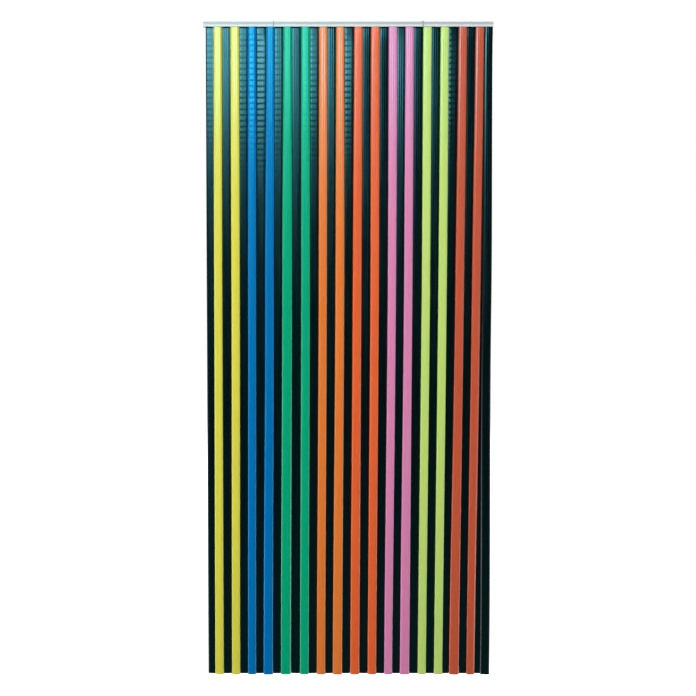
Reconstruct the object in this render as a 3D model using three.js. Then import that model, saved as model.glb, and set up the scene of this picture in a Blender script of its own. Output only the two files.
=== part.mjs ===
// Plastic strip curtain with its head rail
// Millimetres, +Z up. The front of the curtain faces -Y, with +X to the right as it is looked at.
// The origin is the middle of the rail's flat back face, which lies in the plane Y = 0.
import * as THREE from 'three';

// Head rail, an aluminium channel that is open below
const railLength = 900;
const railHeight = 15.5;
const railDepth = 13;
const railWall = 1.2;
const lipHeight = 6.4;
const lipProud = 0.7;
const lipChamfer = 0.5;

// Fixing clips, bent from narrow steel strip, that hold the rail to what is behind it
const clipReach = 232;
const clipWidth = 3;
const clipThickness = 1;
const clipTab = 5;

// Strips, cut from one PVC section and pushed up into the rail. Their places are spaced evenly about a line
// that is shifted a little to the right of the rail's middle.
const stripWidth = 32;
const stripThickness = 1;
const stripFoot = -2063;
const gap = 0.3;
const places = 33;
const pitch = 27.2;
const shifted = 2.5;
const railTop = railHeight / 2;
const railFoot = -railHeight / 2;
const stripTop = railTop - railWall - gap;
const channelFront = -railDepth + railWall;
const frontCrown = channelFront + gap + stripThickness / 2;
const layerStep = 7.2;
const backCrown = frontCrown + layerStep;

// Depths below the strips' tops at which their sections lie. The first two are inside the rail's grip.
const depths = [0, 22, 75, 170, 310, 500, 740, 1030, 1360, 1700, stripTop - stripFoot];

// How a strip bends over its height: the middle values are reached at this part of it, the foot's at its
// end, and both layers stand out by a small belly soon below the rail. Below this depth a strip is free of
// the rail and may turn.
const midway = 0.42;
const belly = 2.4;
const backBelly = 1.2;
const bellyReached = 0.16;
const turnFreed = 75;

// Across a strip the middle is flat and the rims curl back. The turn grows with this power of the
// distance from the middle line, and the section has a point at each of these parts of half its width.
const rimPower = 3;
const across = [-1, -0.82, -0.52, 0, 0.52, 0.82, 1];
const integralSteps = 40;

const colours = {
  black: 0x06110f,
  yellow: 0xd5d840,
  blue: 0x0470b2,
  green: 0x06a57a,
  orange: 0xe07a35,
  vermilion: 0xe5602f,
  pink: 0xd680ab,
  lime: 0xbadb6c,
  brick: 0xbd543a,
};

// Each row of a table as an object with the columns' names
function table(columns, rows) {
  return rows.map((row) => Object.fromEntries(columns.map((column, i) => [column, row[i]])));
}

// Strips that hang in front. place: number of the strip's place, from 0 at the left end of the rail.
// top, mid, foot: sideways stray from that place. rimTop, rimMid, rimFoot: curl of the rims, degrees.
// turnTop, turnMid, turnFoot: turn about the strip's length, degrees, positive brings its right rim forward.
// out: how far the foot hangs out.
const frontStrips = table(
  [
    'place', 'colour', 'top', 'mid', 'foot', 'rimTop', 'rimMid', 'rimFoot', 'turnTop', 'turnMid', 'turnFoot',
    'out',
  ],
  [
    [1, 'yellow', 0.5, -1, -1.5, 108, 110, 92, 1, 2, 3, 1],
    [3, 'yellow', -0.5, 0, -2, 90, 102, 104, 1, -2, -1, 2],
    [5, 'blue', -1.5, -3, -4.5, 90, 106, 96, 1, 3, -4, 1],
    [7, 'blue', 1, -2, -6.5, 98, 84, 58, 0, -3, -5, 3],
    [9, 'green', 0, -1, -4.5, 96, 50, 42, 1, -2, -2, 2],
    [11, 'green', 1.5, 2.5, 0.5, 82, 86, 80, 1, 2, 3, 1],
    [13, 'orange', 2, 3, 0.5, 98, 110, 94, 4, -3, -2, 2],
    [15, 'orange', 0.5, 2, -1.5, 108, 84, 66, 3, 2, 4, 3],
    [17, 'vermilion', 2.5, 2.5, 1, 108, 88, 68, -2, -2, -3, 2],
    [19, 'vermilion', 1, 3, 1.5, 96, 96, 86, -3, 3, 2, 1],
    [21, 'pink', 1.5, 3, -0.5, 94, 110, 110, 1, 2, 3, 2],
    [23, 'pink', -1.5, 0.5, -1.5, 104, 100, 58, 2, -2, -3, 2],
    [25, 'lime', -0.5, 1.5, -0.5, 106, 110, 104, -1, 3, 2, 1],
    [27, 'lime', -1, 0, -1.5, 108, 100, 96, -2, -2, -3, 2],
    [29, 'brick', 0.5, -1, -6, 108, 92, 52, -2, 3, 4, 3],
    [31, 'brick', -1, -2.5, -6, 102, 90, 100, -3, -3, -6, 2],
    [32, 'black', -1, 3.5, 12.5, 108, 76, 60, -4, 4, 3, 2],
  ],
);

// Black strips that hang behind, each midway between the strips in front of it at either side. The first
// and the last are tucked by these widths behind their one neighbour.
const backStrips = table(
  ['place', 'turnTop', 'turnMid', 'turnFoot'],
  [
    [0, 1, 2, 3],
    [2, 0, -2, -2],
    [4, -1, -3, -2],
    [6, 4, 3, -4],
    [8, 0, 2, -3],
    [10, -1, 4, 4],
    [12, 1, -2, -4],
    [14, 0, 3, -4],
    [16, 3, -4, -4],
    [18, -3, 2, 3],
    [20, -4, -3, 4],
    [22, 3, 2, 2],
    [24, -1, -2, 4],
    [26, 0, 3, 2],
    [28, 2, -3, -4],
    [30, -3, 2, 4],
    [32, -2, -2, 3],
  ],
);
const backRim = { top: 22, mid: 38, foot: 46 };
const tuckedFirst = 7;
const tuckedLast = 4;

const degree = Math.PI / 180;

function plastic(colour) {
  return new THREE.MeshStandardMaterial({ color: colour, roughness: 0.35, metalness: 0 });
}

function metal(colour, roughness) {
  return new THREE.MeshStandardMaterial({ color: colour, roughness, metalness: 0.9 });
}

// Value at a part t of the height, from three values down the strip, with soft changes between them
function along(t, top, mid, foot) {
  if (t < midway) {
    return THREE.MathUtils.lerp(top, mid, THREE.MathUtils.smoothstep(t, 0, midway));
  }
  return THREE.MathUtils.lerp(mid, foot, THREE.MathUtils.smoothstep(t, midway, 1));
}

// Part of the height at a depth, which stays 0 inside the rail's grip
function partDown(depth) {
  const grip = depths[1];
  const full = depths[depths.length - 1];
  return Math.max(0, (depth - grip) / (full - grip));
}

// Turn of a strip at a depth, which starts square to the rail and reaches its first value soon below it
function turnAt(row, depth) {
  const freed = THREE.MathUtils.smoothstep(depth, depths[1], turnFreed);
  return along(partDown(depth), row.turnTop, row.turnMid, row.turnFoot) * freed * degree;
}

// Point of a strip's middle surface across its section: sideways, back, and the turn there
function profilePoint(part, rim) {
  const half = stripWidth / 2;
  let x = 0;
  let y = 0;
  for (let i = 0; i < integralSteps; i += 1) {
    const s = (part * (i + 0.5)) / integralSteps;
    const turn = rim * Math.abs(s) ** rimPower;
    x += (half * part * Math.cos(turn)) / integralSteps;
    y += (half * Math.abs(part) * Math.sin(turn)) / integralSteps;
  }
  return { x, y, turn: rim * Math.abs(part) ** rimPower * Math.sign(part) };
}

function chord(rim) {
  return 2 * profilePoint(1, rim).x;
}

// Where a front strip is at a depth: middle line, rim curl and turn
function frontPlace(row, depth) {
  const t = partDown(depth);
  const standOut = belly * THREE.MathUtils.smoothstep(t, 0, bellyReached) + row.out * t;
  return {
    x: (row.place - (places - 1) / 2) * pitch + shifted + along(t, row.top, row.mid, row.foot),
    y: frontCrown - standOut,
    rim: along(t, row.rimTop, row.rimMid, row.rimFoot) * degree,
    turn: turnAt(row, depth),
  };
}

// Edge of a front strip at a depth, its right one for side 1 and its left one for side -1
function frontEdge(index, side, depth) {
  const place = frontPlace(frontStrips[index], depth);
  return place.x + (side * chord(place.rim)) / 2;
}

// Where a back strip is at a depth, from the edges of its neighbours in front
function backPlace(index, depth) {
  const t = partDown(depth);
  const row = backStrips[index];
  const place = {
    x: 0,
    y: backCrown - backBelly * THREE.MathUtils.smoothstep(t, 0, bellyReached),
    rim: along(t, backRim.top, backRim.mid, backRim.foot) * degree,
    turn: turnAt(row, depth),
  };
  const half = chord(place.rim) / 2;
  if (index === 0) {
    place.x = frontEdge(index, -1, depth) + tuckedFirst - half;
  } else if (index === backStrips.length - 1) {
    place.x = frontEdge(index - 1, 1, depth) - tuckedLast + half;
  } else {
    place.x = (frontEdge(index - 1, 1, depth) + frontEdge(index, -1, depth)) / 2;
  }
  return place;
}

// Closed ring of points round a strip's section: along its front, then along its back
function sectionRing(place) {
  const front = [];
  const back = [];
  for (const part of across) {
    const point = profilePoint(part, place.rim);
    const halfX = (Math.sin(point.turn) * stripThickness) / 2;
    const halfY = (Math.cos(point.turn) * stripThickness) / 2;
    front.push([point.x + halfX, point.y - halfY]);
    back.unshift([point.x - halfX, point.y + halfY]);
  }
  const c = Math.cos(place.turn);
  const s = Math.sin(place.turn);
  return [...front, ...back].map(([x, y]) => [place.x + x * c + y * s, place.y - x * s + y * c]);
}

// Solid strip through its sections, from the top down
function stripGeometry(placeAt) {
  const ringSize = across.length * 2;
  const positions = [];
  const faces = [];
  for (const depth of depths) {
    for (const [x, y] of sectionRing(placeAt(depth))) {
      positions.push(x, y, stripTop - depth);
    }
  }
  for (let level = 0; level < depths.length - 1; level += 1) {
    for (let i = 0; i < ringSize; i += 1) {
      const a = level * ringSize + i;
      const b = level * ringSize + ((i + 1) % ringSize);
      faces.push(a, a + ringSize, b, b, a + ringSize, b + ringSize);
    }
  }
  const last = (depths.length - 1) * ringSize;
  for (let i = 0; i < across.length - 1; i += 1) {
    const j = ringSize - 1 - i;
    faces.push(i, i + 1, j, i + 1, j - 1, j);
    faces.push(last + i, last + j, last + i + 1, last + i + 1, last + j, last + j - 1);
  }
  const geometry = new THREE.BufferGeometry();
  geometry.setAttribute('position', new THREE.Float32BufferAttribute(positions, 3));
  geometry.setIndex(faces);
  geometry.computeVertexNormals();
  return geometry;
}

// Long section drawn in the YZ plane and extruded along X about its middle
function barGeometry(outline, length) {
  const shape = new THREE.Shape(outline.map(([y, z]) => new THREE.Vector2(y, z)));
  const geometry = new THREE.ExtrudeGeometry(shape, { depth: length, bevelEnabled: false });
  geometry.translate(0, 0, -length / 2);
  const toYZ = new THREE.Matrix4().set(
    0, 0, 1, 0,
    1, 0, 0, 0,
    0, 1, 0, 0,
    0, 0, 0, 1,
  );
  geometry.applyMatrix4(toYZ);
  return geometry;
}

// Channel with a thicker lip along the foot of its front wall
function railGeometry() {
  const face = -railDepth;
  const lipTop = railFoot + lipHeight;
  const inner = railTop - railWall;
  return barGeometry([
    [0, railFoot],
    [0, railTop],
    [face, railTop],
    [face, lipTop],
    [face - lipProud, lipTop - lipChamfer],
    [face - lipProud, railFoot + lipChamfer],
    [face - lipProud + lipChamfer, railFoot],
    [channelFront, railFoot],
    [channelFront, inner],
    [-railWall, inner],
    [-railWall, railFoot],
  ], railLength);
}

// Clip that hooks under the lip, passes up the face and over the top, and ends in an upright tab
function clipGeometry() {
  const inFront = -railDepth - lipProud - gap;
  const below = railFoot - gap;
  const above = railTop + gap;
  return barGeometry([
    [0, above],
    [0, above + clipTab],
    [-clipThickness, above + clipTab],
    [-clipThickness, above + clipThickness],
    [inFront - clipThickness, above + clipThickness],
    [inFront - clipThickness, below - clipThickness],
    [channelFront, below - clipThickness],
    [channelFront, below],
    [inFront, below],
    [inFront, above],
  ], clipWidth);
}

const curtain = new THREE.Group();

function add(name, geometry, material) {
  const mesh = new THREE.Mesh(geometry, material);
  mesh.name = name;
  curtain.add(mesh);
  return mesh;
}

add('head_rail', railGeometry(), metal(0xc9d4d6, 0.35));

for (const [name, side] of [['fixing_clip_left', -1], ['fixing_clip_right', 1]]) {
  add(name, clipGeometry(), metal(0xa9b2b4, 0.4)).position.x = side * clipReach;
}

for (const row of frontStrips) {
  const name = `strip_front_${row.place}_${row.colour}`;
  add(name, stripGeometry((depth) => frontPlace(row, depth)), plastic(colours[row.colour]));
}

backStrips.forEach((row, index) => {
  const name = `strip_back_${row.place}_black`;
  add(name, stripGeometry((depth) => backPlace(index, depth)), plastic(colours.black));
});

export default curtain;
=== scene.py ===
# Plastic strip curtain with its head rail. Metres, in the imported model's frame: the curtain's front faces
# -Y, +X is to the right as it is looked at, and the origin is the middle of the rail's flat back face.
import math

import bpy
import numpy as np
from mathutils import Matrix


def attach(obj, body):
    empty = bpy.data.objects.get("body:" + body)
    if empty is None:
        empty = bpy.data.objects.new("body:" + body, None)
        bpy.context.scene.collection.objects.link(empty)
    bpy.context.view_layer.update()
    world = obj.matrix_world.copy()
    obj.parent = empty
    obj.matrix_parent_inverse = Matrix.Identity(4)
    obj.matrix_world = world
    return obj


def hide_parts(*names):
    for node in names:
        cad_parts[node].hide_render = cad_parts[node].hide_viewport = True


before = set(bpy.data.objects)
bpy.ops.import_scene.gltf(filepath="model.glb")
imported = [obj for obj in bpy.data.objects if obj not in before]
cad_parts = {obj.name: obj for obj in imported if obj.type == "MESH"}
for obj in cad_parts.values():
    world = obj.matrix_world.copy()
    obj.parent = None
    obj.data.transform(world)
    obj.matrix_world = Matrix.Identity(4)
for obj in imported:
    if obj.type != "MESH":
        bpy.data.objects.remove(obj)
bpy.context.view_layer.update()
mm = 0.001


# Head rail
# A slim channel of extruded aluminium, open below, whose thicker lip along the foot of its face hides where
# the strips go in. It is clear anodised, so it is pale and satin, and it is sawn square at both ends.
rail_length = 900 * mm
rail_height = 15.5 * mm
rail_depth = 13 * mm
rail_wall = 1.2 * mm
lip_height = 6.4 * mm
lip_proud = 0.7 * mm
lip_chamfer = 0.5 * mm
corner_radius = 0.35 * mm
sawn_arris = 0.15 * mm
rail_top = rail_height / 2
rail_foot = -rail_height / 2
rail_face = -rail_depth
lip_top = rail_foot + lip_height
channel_front = rail_face + rail_wall


def linear(code):
    """An sRGB hex colour as the linear colour that the shaders take"""
    parts = [int(code[i : i + 2], 16) / 255 for i in (0, 2, 4)]
    return [p / 12.92 if p <= 0.04045 else ((p + 0.055) / 1.055) ** 2.4 for p in parts] + [1]


def add_node(tree, kind, inputs=None, **settings):
    """A new node with its settings, and its inputs as values or as links from other sockets"""
    made = tree.nodes.new(kind)
    for name, value in settings.items():
        setattr(made, name, value)
    for socket, value in (inputs or {}).items():
        if isinstance(value, bpy.types.NodeSocket):
            tree.links.new(value, made.inputs[socket])
        else:
            made.inputs[socket].default_value = value
    return made


def new_material(name):
    """An empty node material, its tree, and the object's own coordinates, which are metres"""
    material = bpy.data.materials.new(name)
    material.use_nodes = True
    material.node_tree.nodes.clear()
    place = add_node(material.node_tree, "ShaderNodeTexCoord").outputs["Object"]
    return material, material.node_tree, place


def finish_material(tree, shader):
    """Joins the last shader of a material to its output"""
    add_node(tree, "ShaderNodeOutputMaterial", {"Surface": shader.outputs["BSDF"]})


def drawn_metal(name, colour, worn, metallic, roughness, line_pitch, painted_highlight=None):
    """Metal with the fine lines along X that a die or a rolling mill leaves, one about every line_pitch.
    Where the last argument gives a height and a colour, the metal below that height is painted in that
    lighter colour, as a painted highlight"""
    line_length = 167 * mm
    line_depth = 0.03 * mm
    handled_patch = 71.4 * mm
    highlight_edge = 1 * mm
    roughness_swing = 0.06
    material, tree, place = new_material(name)
    lines_at = add_node(
        tree,
        "ShaderNodeMapping",
        {"Vector": place, "Scale": (1 / line_length, 1 / line_pitch, 1 / line_pitch)},
    )
    lines = add_node(
        tree,
        "ShaderNodeTexNoise",
        {"Vector": lines_at.outputs["Vector"], "Scale": 1, "Detail": 3, "Roughness": 0.6},
    )
    handling = add_node(
        tree,
        "ShaderNodeTexNoise",
        {"Vector": place, "Scale": 1 / handled_patch, "Detail": 4},
    )
    tone = add_node(
        tree,
        "ShaderNodeMix",
        {0: handling.outputs["Fac"], 6: linear(worn), 7: linear(colour)},
        data_type="RGBA",
    )
    # Painted highlight: below the given height the colour is painted lighter, with a soft edge
    if painted_highlight:
        highlight_below, highlight_colour = painted_highlight
        height = add_node(tree, "ShaderNodeSeparateXYZ", {"Vector": place})
        share = add_node(
            tree,
            "ShaderNodeMapRange",
            {
                "Value": height.outputs["Z"],
                "From Min": highlight_below,
                "From Max": highlight_below - highlight_edge,
            },
        )
        tone = add_node(
            tree,
            "ShaderNodeMix",
            {0: share.outputs["Result"], 6: tone.outputs[2], 7: linear(highlight_colour)},
            data_type="RGBA",
        )
    rough = add_node(
        tree,
        "ShaderNodeMapRange",
        {
            "Value": lines.outputs["Fac"],
            "To Min": roughness - roughness_swing,
            "To Max": roughness + roughness_swing,
        },
    )
    relief = add_node(
        tree,
        "ShaderNodeBump",
        {"Height": lines.outputs["Fac"], "Strength": 0.35, "Distance": line_depth},
    )
    shader = add_node(
        tree,
        "ShaderNodeBsdfPrincipled",
        {
            "Base Color": tone.outputs[2],
            "Metallic": metallic,
            "Roughness": rough.outputs["Result"],
            "Normal": relief.outputs["Normal"],
        },
    )
    finish_material(tree, shader)
    return material


def rounded(outline, radius):
    """The outline with each of its corners rounded, by less where a side is short"""
    steps = 3
    largest_share = 0.4
    points = np.array(outline)
    made = []
    for i, corner in enumerate(points):
        before = points[i - 1] - corner
        after = points[(i + 1) % len(points)] - corner
        shorter = min(np.linalg.norm(before), np.linalg.norm(after))
        cut = min(radius, largest_share * shorter)
        start = corner + cut * before / np.linalg.norm(before)
        end = corner + cut * after / np.linalg.norm(after)
        for t in np.linspace(0, 1, steps + 1):
            made.append((1 - t) ** 2 * start + 2 * t * (1 - t) * corner + t**2 * end)
    return np.array(made)


def add_mesh(name, points, faces, material, smooth_up_to):
    """A new piece, shaded smooth except where its faces meet at more than smooth_up_to degrees"""
    mesh = bpy.data.meshes.new(name)
    mesh.from_pydata([tuple(p) for p in points], [], faces)
    mesh.validate()
    mesh.shade_smooth()
    mesh.set_sharp_from_angle(angle=math.radians(smooth_up_to))
    mesh.materials.append(material)
    piece = bpy.data.objects.new(name, mesh)
    bpy.context.collection.objects.link(piece)
    return piece


def bar(name, outline, length, middle, material):
    """A bar along X with a section drawn anticlockwise in the YZ plane, its sawn ends eased by an arris"""
    full = rounded(outline, corner_radius)
    run = np.roll(full, -1, axis=0) - np.roll(full, 1, axis=0)
    inward = np.stack([-run[:, 1], run[:, 0]], axis=1) / np.linalg.norm(run, axis=1)[:, None]
    end = full + sawn_arris * inward
    half = length / 2
    rings = [(-half, end), (-half + sawn_arris, full), (half - sawn_arris, full), (half, end)]
    points = [(middle + x, y, z) for x, ring in rings for y, z in ring]
    size = len(full)
    last = (len(rings) - 1) * size
    faces = [list(range(size - 1, -1, -1)), list(range(last, last + size))]
    for first in range(0, last, size):
        for i in range(size):
            a = first + i
            b = first + (i + 1) % size
            faces.append([a, b, b + size, a + size])
    return add_mesh(name, points, faces, material, smooth_up_to=40)


# Clear anodised aluminium: its oxide layer scatters what the metal mirrors, so the rail looks nearly white,
# even and satin, with only a trace of the die's lines. The band along the lip is painted lighter, a painted
# highlight where the lip catches the light.
anodised_aluminium = drawn_metal(
    "anodised_aluminium",
    colour="BCBEBC",
    worn="B3B5B4",
    metallic=0.1,
    roughness=0.6,
    line_pitch=0.7 * mm,
    # Painted highlight along the lip, from just above the lip's top down to the foot
    painted_highlight=(lip_top + 1 * mm, "DCDDDC"),
)

rail = bar(
    "aluminium_rail",
    outline=[
        (0, rail_foot),
        (0, rail_top),
        (rail_face, rail_top),
        (rail_face, lip_top),
        (rail_face - lip_proud, lip_top - lip_chamfer),
        (rail_face - lip_proud, rail_foot + lip_chamfer),
        (rail_face - lip_proud + lip_chamfer, rail_foot),
        (channel_front, rail_foot),
        (channel_front, rail_top - rail_wall),
        (-rail_wall, rail_top - rail_wall),
        (-rail_wall, rail_foot),
    ],
    length=rail_length,
    middle=0,
    material=anodised_aluminium,
)
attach(rail, "root")
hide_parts("head_rail")


# Fixing clips
# Two narrow clips bent from 1 mm steel strip hold the rail: each hooks under the lip, passes up the face and
# over the top, and ends in an upright tab. They are zinc plated, so they are a duller grey than the rail.
clip_reach = 232 * mm
clip_width = 3 * mm
clip_thickness = 1 * mm
clip_tab = 5 * mm

# Clearance between pieces that touch on a real curtain
gap = 0.3 * mm

# Zinc plated steel: the thin plating dulls the rolled strip to an even, slightly blue grey
zinc_plated_steel = drawn_metal(
    "zinc_plated_steel",
    colour="9EA3A4",
    worn="94999A",
    metallic=0.3,
    roughness=0.55,
    line_pitch=0.5 * mm,
)

in_front = rail_face - lip_proud - gap
below = rail_foot - gap
above = rail_top + gap
for side, x in (("left", -clip_reach), ("right", clip_reach)):
    clip = bar(
        f"steel_clip_{side}",
        outline=[
            (0, above),
            (0, above + clip_tab),
            (-clip_thickness, above + clip_tab),
            (-clip_thickness, above + clip_thickness),
            (in_front - clip_thickness, above + clip_thickness),
            (in_front - clip_thickness, below - clip_thickness),
            (channel_front, below - clip_thickness),
            (channel_front, below),
            (in_front, below),
            (in_front, above),
        ],
        length=clip_width,
        middle=x,
        material=zinc_plated_steel,
    )
    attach(clip, "root")
    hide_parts(f"fixing_clip_{side}")


# Strips that hang in front
# Sixteen coloured strips and one black one, cut from extruded PVC section 32 mm wide. It has five soft
# lengthwise flutes and flexible rims that curl back, most of them tightest near the rail. Their tops are
# held in the rail's channel, and some strips keep a crosswise ripple from the extruder below it.
strip_width = 32 * mm
strip_thickness = 0.85 * mm
strip_foot = -2063 * mm
strip_top = rail_top - rail_wall - gap
strip_length = strip_top - strip_foot

# Places for strips, black ones behind included, across the rail
places = 33
pitch = 27.2 * mm
shifted = 2.5 * mm

# The rail holds a strip square down to the grip. Below it the strip takes up its turn, and its layer comes
# forward to its full belly in the given part of the free height. The middle values hold at midway.
grip = 22 * mm
turn_freed = 75 * mm
packed_thickness = 1 * mm
front_crown = channel_front + gap + packed_thickness / 2
front_belly = 2.4 * mm
belly_reached = 0.16
midway = 0.42

# Section: parts of the half-width from the left rim to the right one, and what varies over them. The curl
# grows with the third power of that part, and is added up over rim_samples short steps. The flutes rise above
# the mean face by their height and sink below it by as much.
section_points = 41
across = np.linspace(-1, 1, section_points)
rim_power = 3
rim_samples = 160
flutes = 5
front_flutes = 0.16 * mm
flute_wave = np.cos(flutes * math.pi * across)
flute_fade = 1 - across**6

# Ripple: it has a second wave of half the pitch, fades at the rims, and is twice as high on the left as on
# the right. It flattens the flutes, by up to flutes_lost from a ripple of lost_from millimetres on.
ripple_pitch = 17.7 * mm
second_wave = 0.35
ripple_starts = 14 * mm
ripple_grows_over = 30 * mm
ripple_ends = 560 * mm
ripple_fades_over = 300 * mm
ripple_fade = 1 - across**8
ripple_lean = 0.9 - 0.3 * across
flutes_lost = 0.65
lost_from = 0.12

# Sections down a strip, close together only where the ripple, or the turn below the rail, needs it
rippled_step = 2.2 * mm
plain_step = 6 * mm
plain_close_until = 60 * mm
spaced_sections = 56

# place: number of the strip's place, from 0 at the left end of the rail. top, mid, foot: sideways stray from
# it, mm. rim_top, rim_mid, rim_foot: curl of the rims, degrees. turn_top, turn_mid, turn_foot: turn about the
# strip's length, degrees, positive brings its right rim forward. out: how far the foot hangs out, mm.
# ripple: how far the ripple's main wave rises above the mean face and sinks below it, mm.
front_columns = (
    "place colour top mid foot rim_top rim_mid rim_foot turn_top turn_mid turn_foot out ripple"
).split()
front_rows = [
    (1, "yellow", 0.5, -1, -1.5, 108, 110, 92, 1, 2, 3, 1, 0),
    (3, "yellow", -0.5, 0, -2, 90, 102, 104, 1, -2, -1, 2, 0),
    (5, "blue", -1.5, -3, -4.5, 90, 106, 96, 1, 3, -4, 1, 0.18),
    (7, "blue", 1, -2, -6.5, 98, 84, 58, 0, -3, -5, 3, 0),
    (9, "green", 0, -1, -4.5, 96, 50, 42, 1, -2, -2, 2, 0),
    (11, "green", 1.5, 2.5, 0.5, 82, 86, 80, 1, 2, 3, 1, 0.08),
    (13, "orange", 2, 3, 0.5, 98, 110, 94, 4, -3, -2, 2, 0),
    (15, "orange", 0.5, 2, -1.5, 108, 84, 66, 3, 2, 4, 3, 0),
    (17, "vermilion", 2.5, 2.5, 1, 108, 88, 68, -2, -2, -3, 2, 0.06),
    (19, "vermilion", 1, 3, 1.5, 96, 96, 86, -3, 3, 2, 1, 0),
    (21, "pink", 1.5, 3, -0.5, 94, 110, 110, 1, 2, 3, 2, 0),
    (23, "pink", -1.5, 0.5, -1.5, 104, 100, 58, 2, -2, -3, 2, 0),
    (25, "lime", -0.5, 1.5, -0.5, 106, 110, 104, -1, 3, 2, 1, 0),
    (27, "lime", -1, 0, -1.5, 108, 100, 96, -2, -2, -3, 2, 0),
    (29, "brick", 0.5, -1, -6, 108, 92, 52, -2, 3, 4, 3, 0),
    (31, "brick", -1, -2.5, -6, 102, 90, 100, -3, -3, -6, 2, 0),
    (32, "black", -1, 3.5, 12.5, 108, 76, 60, -4, 4, 3, 2, 0),
]
front_strips = [dict(zip(front_columns, row)) for row in front_rows]

# The lighter and the darker streaks of each colour, and the tint of its gloss. Only the blue, whose pigment
# is the deepest, needs a tint, because its veil of mirrored light would otherwise look violet.
pvc_colours = {
    "black": ("010E0F", "000A0B", "FFFFFF"),
    "yellow": ("E8E34B", "DFDA49", "FFFFFF"),
    "blue": ("0179C1", "0172B6", "A6F6F2"),
    "green": ("01B07D", "01A879", "FFFFFF"),
    "orange": ("F08233", "EA7C2F", "FFFFFF"),
    "vermilion": ("F26932", "EC642F", "FFFFFF"),
    "pink": ("E68CBA", "E086B5", "FFFFFF"),
    "lime": ("CBE979", "C4E474", "FFFFFF"),
    "brick": ("D05B3B", "C95738", "FFFFFF"),
}


def ribbed_pvc(colour):
    """Extruded PVC. Its smooth skin mirrors what is bright near it, as a soft veil over a deep even colour,
    and faint crosswise marks and a fine grain keep that veil from being glassy"""
    light, dark, gloss = pvc_colours[colour]
    streak_width = 4 * mm
    streak_length = 333 * mm
    haze_width = 8.33 * mm
    haze_length = 200 * mm
    glossiest = 0.25
    dullest = 0.33
    mark_pitch = 15.08 * mm
    mark_depth = 0.04 * mm
    grain_size = 1.11 * mm
    grain_depth = 0.03 * mm
    material, tree, place = new_material(f"pvc_{colour}")
    # Streaks of pigment run far along the strip
    streaks_at = add_node(
        tree,
        "ShaderNodeMapping",
        {"Vector": place, "Scale": (1 / streak_width, 1 / streak_width, 1 / streak_length)},
    )
    streaks = add_node(
        tree,
        "ShaderNodeTexNoise",
        {"Vector": streaks_at.outputs["Vector"], "Scale": 1, "Detail": 4, "Roughness": 0.55},
    )
    tone = add_node(
        tree,
        "ShaderNodeMix",
        {0: streaks.outputs["Fac"], 6: linear(dark), 7: linear(light)},
        data_type="RGBA",
    )
    # Dust and handling dull the gloss in wider streaks. The noise lies mostly between 0.3 and 0.7.
    haze_at = add_node(
        tree,
        "ShaderNodeMapping",
        {"Vector": place, "Scale": (1 / haze_width, 1 / haze_width, 1 / haze_length)},
    )
    haze = add_node(
        tree,
        "ShaderNodeTexNoise",
        {"Vector": haze_at.outputs["Vector"], "Scale": 1, "Detail": 3},
    )
    rough = add_node(
        tree,
        "ShaderNodeMapRange",
        {
            "Value": haze.outputs["Fac"],
            "From Min": 0.3,
            "From Max": 0.7,
            "To Min": glossiest,
            "To Max": dullest,
        },
    )
    # The haul-off rollers leave faint marks across the strip. A wave texture of scale 1 has a wave for each
    # 2 pi / 20 of a metre.
    marks = add_node(
        tree,
        "ShaderNodeTexWave",
        {"Vector": place, "Scale": 2 * math.pi / 20 / mark_pitch, "Distortion": 1.5, "Detail": 2},
        bands_direction="Z",
    )
    marked = add_node(
        tree,
        "ShaderNodeBump",
        {"Height": marks.outputs["Fac"], "Strength": 0.25, "Distance": mark_depth},
    )
    # The grain of a real strip is far finer than this. It is drawn as coarse as it needs to show.
    grain = add_node(
        tree,
        "ShaderNodeTexNoise",
        {"Vector": place, "Scale": 1 / grain_size, "Detail": 2},
    )
    relief = add_node(
        tree,
        "ShaderNodeBump",
        {
            "Height": grain.outputs["Fac"],
            "Strength": 0.2,
            "Distance": grain_depth,
            "Normal": marked.outputs["Normal"],
        },
    )
    # PVC's IOR is 1.54, and this is raised a little to the strength of the veil
    shader = add_node(
        tree,
        "ShaderNodeBsdfPrincipled",
        {
            "Base Color": tone.outputs[2],
            "Roughness": rough.outputs["Result"],
            "IOR": 1.58,
            "Specular Tint": linear(gloss),
            "Normal": relief.outputs["Normal"],
        },
    )
    finish_material(tree, shader)
    return material


pvc = {colour: ribbed_pvc(colour) for colour in pvc_colours}


def eased(part):
    """A part from 0 to 1 with a soft start and end, for what changes over a length"""
    held = np.clip(part, 0, 1)
    return held**2 * (3 - 2 * held)


def along(t, top, mid, foot):
    """Value at a part t of the height, from three values down the strip, with soft changes between them"""
    value = top + (mid - top) * eased(t / midway)
    return value + (foot - mid) * eased((t - midway) / (1 - midway))


def section(rim):
    """Middle line of a strip's section for a rim curl in radians: sideways, back, and the turn there"""
    fine = np.linspace(0, 1, rim_samples + 1)
    turn = rim * fine**rim_power
    half_step = strip_width / 2 / rim_samples / 2
    x = np.concatenate([[0], np.cumsum(np.cos(turn[1:]) + np.cos(turn[:-1])) * half_step])
    y = np.concatenate([[0], np.cumsum(np.sin(turn[1:]) + np.sin(turn[:-1])) * half_step])
    part = np.abs(across)
    side = np.sign(across)
    return side * np.interp(part, fine, x), np.interp(part, fine, y), side * rim * part**rim_power


def half_chord(rim):
    """Half the width that a strip shows, for a rim curl in radians"""
    return section(rim)[0][-1]


def part_down(depth):
    """Part of a strip's free height that lies above a depth, which is measured from the strip's top"""
    return max(0, (depth - grip) / (strip_length - grip))


def turn_at(row, depth):
    """Turn of a strip, in radians: square to the rail first, and its turn_top soon below the rail"""
    turn = along(part_down(depth), row["turn_top"], row["turn_mid"], row["turn_foot"])
    return math.radians(turn) * eased((depth - grip) / (turn_freed - grip))


def stand_out(depth, belly):
    """How far a layer has come forward at a depth, on its way to its full belly soon below the rail"""
    return belly * eased(part_down(depth) / belly_reached)


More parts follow.
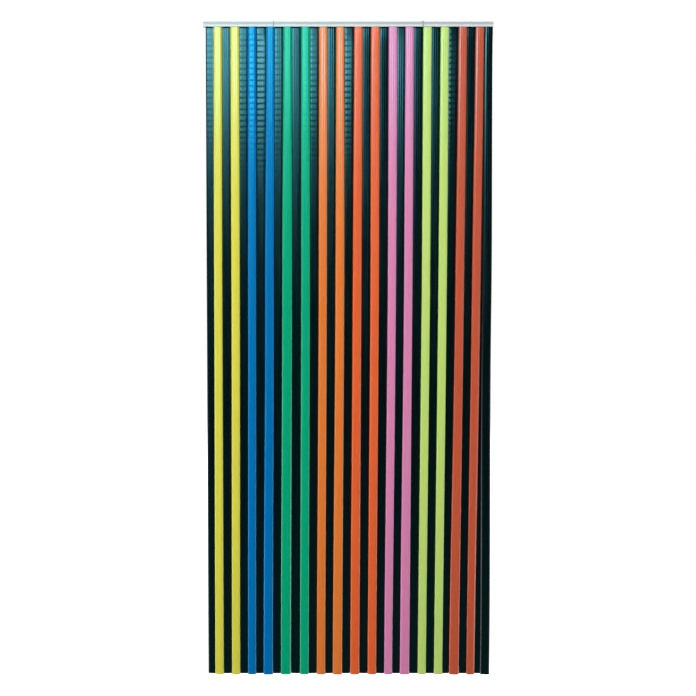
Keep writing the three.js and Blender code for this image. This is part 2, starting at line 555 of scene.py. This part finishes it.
def front_place(row, depth):
    """Where a front strip is at a depth: middle line, crown, rim curl and turn"""
    t = part_down(depth)
    middle_line = (row["place"] - (places - 1) / 2) * pitch + shifted
    return (
        middle_line + along(t, row["top"], row["mid"], row["foot"]) * mm,
        front_crown - stand_out(depth, front_belly) - row["out"] * mm * t,
        math.radians(along(t, row["rim_top"], row["rim_mid"], row["rim_foot"])),
        turn_at(row, depth),
    )


def ripple_at(depth, height):
    """The crosswise ripple at a depth, for its main wave's height in mm: it grows below the rail and fades"""
    grown = np.clip((depth - ripple_starts) / ripple_grows_over, 0, 1)
    remaining = np.clip((ripple_ends - depth) / ripple_fades_over, 0, 1)
    phase = 2 * math.pi * depth / ripple_pitch
    wave = math.sin(phase) + second_wave * math.sin(2 * phase)
    return height * mm * grown * remaining * wave


def section_depths(rippled):
    """Depths of the sections down a strip"""
    close_until = ripple_ends if rippled else plain_close_until
    close_step = rippled_step if rippled else plain_step
    close = np.arange(0, close_until, close_step)
    return np.concatenate([close, np.linspace(close_until, strip_length, spaced_sections)])


def strip(name, node, slot, place_at, ripple, flute_height):
    """A strip through its sections, as a thin closed sheet with flutes along its front. place_at gives its
    middle line, crown, rim curl and turn at a depth"""
    depths = section_depths(ripple > 0)
    flattened = 1 - flutes_lost * min(1, ripple / lost_from)
    flute = flute_height * flattened * flute_wave * flute_fade
    half = strip_thickness / 2
    levels = []
    for depth in depths:
        middle_line, crown, rim, turn = place_at(depth)
        x, y, lean = section(rim)
        y = y + ripple_at(depth, ripple) * ripple_fade * ripple_lean
        front = (x + np.sin(lean) * (half + flute), y - np.cos(lean) * (half + flute))
        back = (x - np.sin(lean) * half, y + np.cos(lean) * half)
        xs = np.concatenate([front[0], back[0][::-1]])
        ys = np.concatenate([front[1], back[1][::-1]])
        turned_x = middle_line + xs * math.cos(turn) + ys * math.sin(turn)
        turned_y = crown - xs * math.sin(turn) + ys * math.cos(turn)
        levels.append(np.stack([turned_x, turned_y, np.full(len(xs), strip_top - depth)], axis=1))
    points = np.concatenate(levels)
    size = 2 * len(across)
    last = (len(depths) - 1) * size
    faces = []
    for first in range(0, last, size):
        for i in range(size):
            a = first + i
            b = first + (i + 1) % size
            faces.append([a, a + size, b + size, b])
    # The top and the foot are closed between the front and the back face
    for i in range(len(across) - 1):
        j = size - 1 - i
        faces.append([i, i + 1, j - 1, j])
        faces.append([last + i, last + j, last + j - 1, last + i + 1])
    piece = add_mesh(name, points, faces, pvc[slot], smooth_up_to=50)
    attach(piece, "root")
    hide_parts(node)


for row in front_strips:
    strip(
        f"pvc_strip_front_{row['place']}_{row['colour']}",
        node=f"strip_front_{row['place']}_{row['colour']}",
        slot=row["colour"],
        place_at=lambda depth: front_place(row, depth),
        ripple=row["ripple"],
        flute_height=front_flutes,
    )


# Strips that hang behind
# Seventeen black strips of the same PVC section, which close the spaces between the ones in front. They are
# flatter, and their flutes are lower, because the strips in front press on them. The first and the last one
# are tucked behind the coloured strip beside them.
layers_apart = 7.2 * mm
back_crown = front_crown + layers_apart
back_belly = 1.2 * mm
back_rim = (22, 38, 46)
back_flutes = 0.1 * mm
tucked_first = 7 * mm
tucked_last = 4 * mm

# place, turn_top, turn_mid, turn_foot and ripple as for the strips in front
back_columns = "place turn_top turn_mid turn_foot ripple".split()
back_rows = [
    (0, 1, 2, 3, 0.07),
    (2, 0, -2, -2, 0),
    (4, -1, -3, -2, 0.12),
    (6, 4, 3, -4, 0.19),
    (8, 0, 2, -3, 0.1),
    (10, -1, 4, 4, 0),
    (12, 1, -2, -4, 0.12),
    (14, 0, 3, -4, 0),
    (16, 3, -4, -4, 0.17),
    (18, -3, 2, 3, 0),
    (20, -4, -3, 4, 0),
    (22, 3, 2, 2, 0),
    (24, -1, -2, 4, 0),
    (26, 0, 3, 2, 0),
    (28, 2, -3, -4, 0.24),
    (30, -3, 2, 4, 0),
    (32, -2, -2, 3, 0),
]
back_strips = [dict(zip(back_columns, row)) for row in back_rows]


def front_edge(index, side, depth):
    """Edge of a front strip at a depth, its right one for side 1 and its left one for side -1"""
    middle_line, _, rim, _ = front_place(front_strips[index], depth)
    return middle_line + side * half_chord(rim)


def back_place(index, depth):
    """Where a back strip is at a depth, from the edges of its neighbours in front"""
    rim = math.radians(along(part_down(depth), *back_rim))
    half = half_chord(rim)
    if index == 0:
        middle_line = front_edge(index, -1, depth) + tucked_first - half
    elif index == len(back_strips) - 1:
        middle_line = front_edge(index - 1, 1, depth) - tucked_last + half
    else:
        middle_line = (front_edge(index - 1, 1, depth) + front_edge(index, -1, depth)) / 2
    crown = back_crown - stand_out(depth, back_belly)
    return middle_line, crown, rim, turn_at(back_strips[index], depth)


for index, row in enumerate(back_strips):
    strip(
        f"pvc_strip_back_{row['place']}",
        node=f"strip_back_{row['place']}_black",
        slot="black",
        place_at=lambda depth: back_place(index, depth),
        ripple=row["ripple"],
        flute_height=back_flutes,
    )


# Floor, light and camera
# A white floor and a white backdrop. Four soft boxes light the curtain and aren't mirrored in it. What its
# glossy strips mirror is a cool window with a patch of sky, high on the left in front, and the surroundings.
clear_of_floor = 26 * mm
floor_height = strip_foot - clear_of_floor
floor_reach = 30


def studio_white():
    """Pale floor that carries its own soft light, so that it meets the surroundings without an edge"""
    dust_patch = 1.67
    material, tree, place = new_material("studio_floor")
    dust = add_node(
        tree,
        "ShaderNodeTexNoise",
        {"Vector": place, "Scale": 1 / dust_patch, "Detail": 2},
    )
    tone = add_node(
        tree,
        "ShaderNodeMix",
        {0: dust.outputs["Fac"], 6: linear("F4F5F5"), 7: linear("F8F8F8")},
        data_type="RGBA",
    )
    shader = add_node(
        tree,
        "ShaderNodeBsdfPrincipled",
        {
            "Base Color": tone.outputs[2],
            "Roughness": 0.9,
            "Specular IOR Level": 0,
            "Emission Color": linear("FFFFFF"),
            "Emission Strength": 1.02,
        },
    )
    finish_material(tree, shader)
    return material


floor = add_mesh(
    "studio_floor",
    [
        (-floor_reach, -floor_reach, floor_height),
        (floor_reach, -floor_reach, floor_height),
        (floor_reach, floor_reach, floor_height),
        (-floor_reach, floor_reach, floor_height),
    ],
    [[0, 1, 2, 3]],
    studio_white(),
    smooth_up_to=30,
)
floor.visible_glossy = False
floor.visible_diffuse = False
floor.visible_shadow = False

# Surroundings, by the direction of a ray. The camera sees white. The strips mirror pale sides, low on the
# left and on the right, which draw light lines along their rims, and a faint cool glow from below. All else
# is dim. The limits are parts of a ray's direction, X to the right and Z up.
world = bpy.data.worlds.new("studio")
world.use_nodes = True
tree = world.node_tree
tree.nodes.clear()
ray = add_node(tree, "ShaderNodeLightPath")
mirrored_ray = ray.outputs["Is Glossy Ray"]
direction = add_node(tree, "ShaderNodeTexCoord").outputs["Generated"]
heading = add_node(tree, "ShaderNodeSeparateXYZ", {"Vector": direction})
sideways = add_node(tree, "ShaderNodeMath", {0: heading.outputs["X"]}, operation="ABSOLUTE")
beside = add_node(
    tree,
    "ShaderNodeMapRange",
    {"Value": sideways.outputs[0], "From Min": 0.76, "From Max": 0.92},
)
low = add_node(
    tree,
    "ShaderNodeMapRange",
    {"Value": heading.outputs["Z"], "From Min": -0.04, "From Max": -0.2},
)
low_beside = add_node(
    tree,
    "ShaderNodeMath",
    {0: beside.outputs["Result"], 1: low.outputs["Result"]},
    operation="MULTIPLY",
)
sides_share = add_node(
    tree,
    "ShaderNodeMath",
    {0: low_beside.outputs[0], 1: mirrored_ray},
    operation="MULTIPLY",
)
downward = add_node(
    tree,
    "ShaderNodeMapRange",
    {"Value": heading.outputs["Z"], "From Min": -0.2, "From Max": -0.3},
)
glow_share = add_node(
    tree,
    "ShaderNodeMath",
    {0: downward.outputs["Result"], 1: mirrored_ray},
    operation="MULTIPLY",
)
dim = add_node(tree, "ShaderNodeBackground", {"Color": linear("4A8086"), "Strength": 0.02})
glow = add_node(tree, "ShaderNodeBackground", {"Color": linear("2C6E76"), "Strength": 1.1})
sides = add_node(tree, "ShaderNodeBackground", {"Color": linear("F4F6F8"), "Strength": 5})
backdrop = add_node(tree, "ShaderNodeBackground", {"Color": linear("FFFFFF"), "Strength": 1})
with_glow = add_node(
    tree,
    "ShaderNodeMixShader",
    {0: glow_share.outputs[0], 1: dim.outputs[0], 2: glow.outputs[0]},
)
with_sides = add_node(
    tree,
    "ShaderNodeMixShader",
    {0: sides_share.outputs[0], 1: with_glow.outputs[0], 2: sides.outputs[0]},
)
surroundings = add_node(
    tree,
    "ShaderNodeMixShader",
    {0: ray.outputs["Is Camera Ray"], 1: with_sides.outputs[0], 2: backdrop.outputs[0]},
)
add_node(tree, "ShaderNodeOutputWorld", {"Surface": surroundings.outputs[0]})
bpy.context.scene.world = world


def soft_box(name, at, towards, width, height, watts, colour):
    """A rectangular lamp that faces a point and isn't seen itself"""
    lamp = bpy.data.lights.new(name, "AREA")
    lamp.shape = "RECTANGLE"
    lamp.size = width
    lamp.size_y = height
    lamp.energy = watts
    lamp.color = linear(colour)[:3]
    piece = bpy.data.objects.new(name, lamp)
    way = [b - a for a, b in zip(at, towards)]
    level_way = math.hypot(way[0], way[1])
    piece.location = at
    piece.rotation_euler = (
        math.pi / 2 + math.atan2(way[2], level_way),
        0,
        math.atan2(-way[0], way[1]),
    )
    piece.visible_camera = False
    bpy.context.collection.objects.link(piece)
    return piece


curtain_middle = (0, 0, strip_foot / 2)

# Name, place, point that it faces, width, height, watts and colour
lighting = [
    soft_box("left_box", (-3.4, -2.6, -0.7), curtain_middle, 2.2, 3.0, 100, "FFFFFF"),
    soft_box("right_box", (3.4, -2.6, -0.7), curtain_middle, 2.2, 3.0, 52, "FFFFFF"),
    soft_box("top_box", (-0.2, -5.0, 3.4), curtain_middle, 3.6, 2.0, 278, "FFFFFF"),
    soft_box("back_box", (0, 5.0, 1.0), curtain_middle, 3.6, 2.0, 220, "FFFFFF"),
]
for lamp in lighting:
    lamp.visible_glossy = False
mirrored = [
    soft_box("window", (-0.95, -3.2, 0.95), (-0.95, 0, 0.95), 1.9, 1.3, 85, "5CE8FF"),
    soft_box("sky", (-1.15, -3.15, 1.3), (-1.15, 0, 1.3), 1.3, 0.9, 46, "C4ECFF"),
]
for lamp in mirrored:
    lamp.visible_diffuse = False

# The camera stands 3.5 m in front and a little to the left, and looks down a little
looks_down = 4.118
camera = bpy.data.cameras.new("camera")
camera.sensor_width = 36
camera.lens = 56.7
camera.shift_x = 0.0963
viewpoint = bpy.data.objects.new("camera", camera)
viewpoint.location = (-0.2083, -3.472, -0.7569)
viewpoint.rotation_euler = (math.radians(90 - looks_down), 0, 0)
bpy.context.collection.objects.link(viewpoint)
bpy.context.scene.camera = viewpoint
bpy.context.scene.view_settings.view_transform = "Standard"
